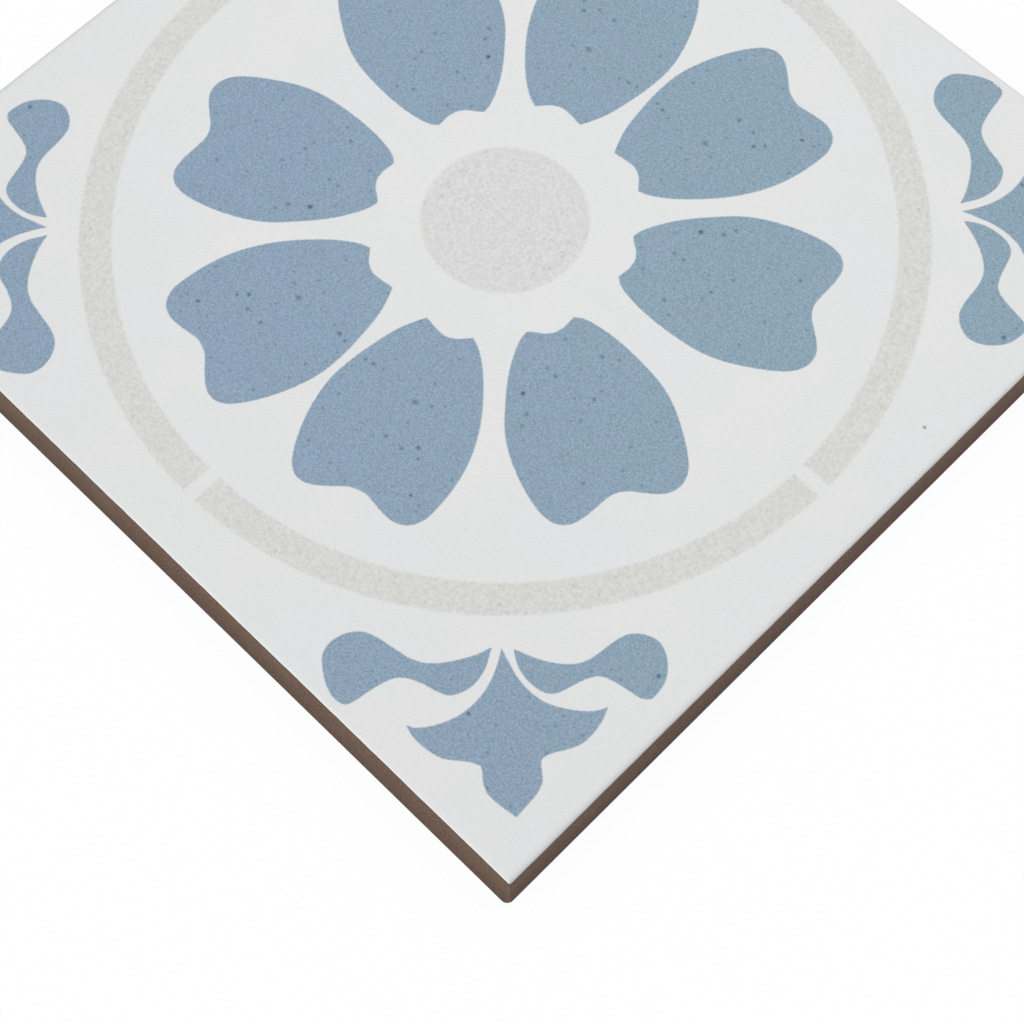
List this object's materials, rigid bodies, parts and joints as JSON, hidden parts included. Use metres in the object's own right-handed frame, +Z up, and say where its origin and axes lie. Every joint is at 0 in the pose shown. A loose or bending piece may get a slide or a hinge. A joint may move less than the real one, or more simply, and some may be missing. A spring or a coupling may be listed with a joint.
{
  "type": "porcelain wall tile",
  "caption": "Square glazed porcelain wall tile with a matt white face, a printed blue flower-in-ring pattern, a brown body and a keyed back for adhesive.",
  "frame": {"origin": "centre of the back, on the plane of its ribs", "axes": "+Z up out of the glazed face, X and Y along the sides"},
  "size_m": [0.1, 0.1, 0.008],
  "materials": {
    "tile": "matt white glaze on the face, bare brown body on the sides and back"
  },
  "bodies": {
    "root": {"tile": "tile"}
  },
  "joints": []
}
